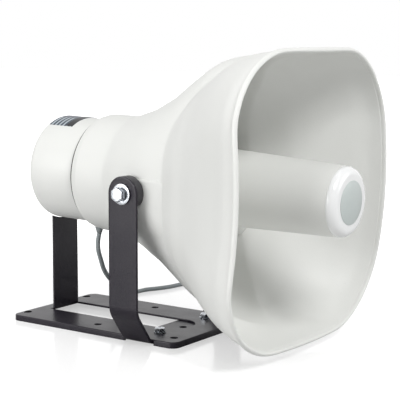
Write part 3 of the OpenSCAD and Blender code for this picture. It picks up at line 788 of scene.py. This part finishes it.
# the side pads: flat rounded faces that carry the bolts; their skirts end inside the bell's wall.
# Each ring has its share of the pad's size and its depth below the face.
pad_x, pad_y, pad_z, pad_half, pad_rise, pad_drop = 81.7, -11, -3.5, 29, 17.5, 54
pad_rings = ((0, 0), (0.25, 0), (0.4, 0), (0.55, 0), (0.7, 0), (0.85, 0), (0.93, 0), (0.985, 0.4),
             (1, 1.3), (1.01, 12), (0.8, 30), (0.5, 40), (0, 50))
fade_top, fade_l = -14, 42


def blunt(wave):
    """A sine or cosine to a small power, with its sign: a loop of them is a box with round corners."""
    return np.sign(wave) * np.abs(wave) ** 0.22


def pad_ring(sign, share, depth):
    """A ring of a pad: a blunt loop that lies at the pad's face, less its depth. From fade_top down
    the face runs over into the neck's oval wall, by a smooth step."""
    y = pad_y + share * pad_half * blunt(np.cos(compass))
    z = pad_z + share * np.where(np.sin(compass) > 0, pad_rise, pad_drop) * blunt(np.sin(compass))
    room = np.clip(1 - ((z - axis_up) / neck_half_height(-y)) ** 2, 0.01, 1)
    wall_x = neck_half_width(-y) * np.sqrt(room) - 1.4
    fade = np.clip((fade_top - z) / fade_l, 0, 1)
    fade = fade**2 * (3 - 2 * fade)
    x = (pad_x - depth) * (1 - fade) + (wall_x - 0.3 * depth) * fade
    if depth <= 2:
        x = np.maximum(x, wall_x)
    return np.stack([sign * x, hinge[1] + y, hinge[2] + z], -1)


# the round boss inside each pad takes the brass insert of the side bolt
boss = [[6, tip_x], [8.6, tip_x], [9.4, tip_x + 0.8], [9.5, 79.5], [6, 79.5]]
for sign in (-1, 1):
    bell.append(grid(np.stack([pad_ring(sign, share, depth) for share, depth in pad_rings])))
    bell.append(spun(boss, sideways(sign, 0)))

off_white, shader, where = new_finish("off_white_moulding", Specular_IOR_Level=0.24)
tone = where.noise(7, 3).blend((0.755, 0.762, 0.735), (0.815, 0.82, 0.80))
specks = where.noise(260, 4).step(0.70, 0.80) * 0.25
specks.blend(tone, (0.60, 0.60, 0.57)).feeds(shader, "Base Color")
(where.noise(22, 4) * 0.14 + where.noise(300, 2) * 0.05 + 0.30).feeds(shader, "Roughness")
(where.noise(520, 2) * 0.6 + where.noise(60, 3, (1, 0.15, 1)) * 0.8).bump(shader, 0.00012)
piece("horn_bell_moulded", bell, off_white, "horn", ("horn_bell",))

# Reflector
# Tapered tube inside the bell that turns the sound round, moulded in the bell's off-white. Three
# ribs hold it on the middle horn.


def lathe(profile, steps=128):
    """A solid turned about the horn's axis from a closed line of (radius, place along the axis)."""
    return spun(profile, lambda x, z, s: on_horn(x, s, z), steps)


open_s, joint_s = -40, 193
outside = row(np.linspace(42.9, 34.5, 30), np.linspace(open_s + 0.5, joint_s - 0.2, 30))
inner_wall = row(np.linspace(31.9, 40.5, 12), np.linspace(joint_s, open_s, 12))
reflector = [lathe(np.vstack([[[42.2, open_s]], outside, [[34.2, joint_s]], inner_wall]))]
rib_half, rib_foot, rib_top = 1.5, 29.5, 35.4
rib_side, rib_s = rib_half * np.array([-1, 1, 1, -1]), np.array([60.0, 60.0, 130.0, 130.0])
for turn in np.radians((90, 210, 330)):
    across, out = np.cos(turn), np.sin(turn)
    ends = [on_horn(r * across - rib_side * out, rib_s, r * out + rib_side * across)
            for r in (rib_foot, rib_top)]
    reflector.append(grid(capped(np.stack(ends))))
piece("reflector_tube", reflector, off_white, "horn", ("reflector",))

# Front cap
# Glossy white moulded cap with a wide round edge, closed at the front. Its rim is pushed into the
# reflector's front end.
gloss_white = plain_finish(
    "gloss_white_cap", cloud=(30, 2), dark=(0.84, 0.85, 0.85), pale=(0.88, 0.885, 0.885),
    grain=(300, 2), dull=(0.14, 0.22), Coat_Weight=0.6, Coat_Roughness=0.06)
cap_face, cap_edge = 202.2, 8.5
cap = np.vstack([
    [[0, 199], [24, 199], [31.6, 194], [31.6, 193.1], [33.9, 193.1], [34.3, 193.2], [34.5, 193.5]],
    arc((34.5 - cap_edge, cap_face - cap_edge), cap_edge, 0, 90, 16), [[15, cap_face], [0, cap_face]]])
piece("front_cap_gloss", [lathe(cap)], gloss_white, "horn", ("front_cap",))

# Cap label
# Round disc of greenish-grey film, left plain. It is stuck on the middle of the cap's face.
film_grey = plain_finish(
    "grey_film", cloud=(45, 3), dark=(0.47, 0.52, 0.51), pale=(0.55, 0.60, 0.585),
    grain=(700, 2), dull=(0.30, 0.42), Coat_Weight=0.3, Coat_Roughness=0.2)
film_r, film_top = 21.4, cap_face + 0.4
disc = [[0, cap_face + 0.02], [film_r - 0.2, cap_face + 0.02], [film_r, cap_face + 0.15],
        [film_r, film_top - 0.1], [film_r - 0.2, film_top], [0, film_top]]
piece("cap_label_plain", [lathe(disc)], film_grey, "horn", ("cap_label",))

# Rear cover
# Round off-white cup over the driver with a rounded rear edge, pushed on the body's spigot. A dark
# seal shows in the groove between the two; its wide dark lip is painted shadow of the body's step.
cover_r, cover_open, cover_end, cover_edge, cover_wall = 56.4, -96.0, -161.8, 8.0, 3.2
cover_floor = cover_end + cover_wall
cover = np.vstack([
    [[0, cover_end]], arc((cover_r - cover_edge, cover_end + cover_edge), cover_edge, -90, 0, 14),
    [[cover_r, cover_open - 0.8], [cover_r - 0.3, cover_open - 0.2], [cover_r - 0.9, cover_open],
     [cover_r - 4, cover_open], [cover_r - 4, cover_end + cover_edge],
     [cover_r - cover_edge, cover_floor], [0, cover_floor]]])
piece("rear_cover_moulded", [lathe(cover)], off_white, "horn", ("rear_cover",))

# Seal and painted shadow
# Dark rubber ring in the step between body and cover. Its lip closes the gap behind the body's edge
# and reaches back over the cover, dark: painted shadow standing in for the shade of the body's step.
seal_and_shadow_rubber = plain_finish(
    "dark_rubber_seal", cloud=(90, 3), dark=(0.075, 0.075, 0.07), pale=(0.12, 0.12, 0.115),
    grain=(500, 2), dull=(0.6, 0.75), Specular_IOR_Level=0.2)
# the lip, widened over the cover behind the body's edge, is painted shadow of the body's step
seal_lip_and_painted_shadow = [[52.4, -95.95], [52.4, -94.95], [58.9, -94.95], [59.1, -97.2], [58.8, -98.0], [58.0, -98.4],
       [56.45, -98.5], [56.45, -95.95]]
piece("seal_ring", [lathe(seal_lip_and_painted_shadow)], seal_and_shadow_rubber, "horn", ("seam_ring",))

# Rating label
# Thin blue-grey film wrapped over the cover's top, with plain pale rules, and a black band across
# its front end. Both are stuck on.


def wrapped(r, t, s_low, s_high, first, last):
    """A film on the cover: a thin box of a section, carried round the axis between two angles."""
    a = np.radians(np.linspace(first, last, 49))[:, None]
    corners_r = np.array([r, r + t, r + t, r])
    corners_s = np.array([s_low, s_low + 0.1, s_high - 0.1, s_high])
    return grid(capped(on_horn(corners_r * np.cos(a), corners_s + 0 * a, corners_r * np.sin(a))))


film_blue, shader, where = new_finish("blue_grey_film", Specular_IOR_Level=0.25)
rules = where.part(1).wave(1200.0).step(-0.1, 0.5) * (1 - where.part(0).step(-0.014, -0.006)) * 0.8
rules.blend((0.030, 0.045, 0.070), (0.55, 0.62, 0.66)).feeds(shader, "Base Color")
(where.noise(600, 2) * 0.1 + 0.25).feeds(shader, "Roughness")
piece("rating_label_plain", [wrapped(56.42, 0.28, -154.8, -122.6, 59, 121)], film_blue,
      "horn", ("rating_label",))
film_black = plain_finish(
    "black_band", cloud=(80, 2), dark=(0.008, 0.008, 0.009), pale=(0.016, 0.016, 0.018),
    grain=(600, 2), dull=(0.3, 0.4), Specular_IOR_Level=0.25)
piece("label_band_black", [wrapped(56.72, 0.12, -131.4, -122.8, 59.3, 120.7)], film_black,
      "horn", ("label_stripe",))

# Cable gland
# Tapered sleeve of grey rubber, pressed into the hole where the cable leaves the body.
rubber = plain_finish(
    "grey_rubber", cloud=(120, 3), dark=(0.20, 0.22, 0.225), pale=(0.28, 0.30, 0.305),
    grain=(600, 2), dull=(0.55, 0.70), relief=(1500, 2, 0.0001), Specular_IOR_Level=0.3)
gland = [[2.55, 99.1], [2.9, 99.0], [3.1, 99.2], [3.5, 101.5], [4.4, 104.0], [4.45, 107.9],
         [2.55, 107.9]]
piece("cable_gland", [spun(gland, upright(exit_point[0], exit_point[1], 0))], rubber,
      "horn", ("cable_grommet",))

# Parts inside
# What the covers hide keeps its CAD solids: throat horn, driver, transformer and their fixings, in
# plain metal, ferrite, film and moulding.
brass = plain_finish(
    "plain_brass", cloud=(400, 3), dark=(0.62, 0.45, 0.18), pale=(0.75, 0.58, 0.28),
    grain=(700, 2), dull=(0.25, 0.45), Metallic=1.0)
ferrite = plain_finish(
    "dark_ferrite", cloud=(500, 4), dark=(0.02, 0.02, 0.022), pale=(0.045, 0.045, 0.048),
    grain=(300, 3), dull=(0.5, 0.7))
plated = plain_finish(
    "zinc_passivate", cloud=(90, 3), dark=(0.36, 0.36, 0.34), pale=(0.5, 0.5, 0.49),
    grain=(500, 2), dull=(0.32, 0.52), Metallic=0.9)
amber = plain_finish(
    "amber_film", cloud=(200, 2), dark=(0.45, 0.30, 0.10), pale=(0.58, 0.42, 0.17),
    grain=(500, 2), dull=(0.3, 0.5))
enamelled, shader, where = new_finish("enamelled_copper", Metallic=0.6, Coat_Weight=0.5)
windings = where.part(2).wave(9000.0)
windings.step(-0.6, 0.8).blend((0.28, 0.10, 0.04), (0.55, 0.24, 0.11)).feeds(shader, "Base Color")
windings.bump(shader, 0.0002)
laminated, shader, where = new_finish("varnished_laminations", Metallic=0.7)
leaves = where.part(1).wave(12500.0).step(-0.5, 0.5)
leaves.blend((0.12, 0.11, 0.10), (0.30, 0.29, 0.27)).feeds(shader, "Base Color")
(where.noise(400) * 0.2 + 0.4).feeds(shader, "Roughness")
for node, material in {
        "thread_inserts": brass, "inner_horn": off_white, "driver_back": plated,
        "driver_magnet": ferrite, "driver_top": plated, "voice_coil": enamelled, "diaphragm": amber,
        "phase_plug": black_moulding, "driver_screws": zinc, "transformer_core": laminated,
        "transformer_coil": enamelled, "terminal_block": black_moulding}.items():
    frame["nodes"][node].data.materials.clear()
    frame["nodes"][node].data.materials.append(material)
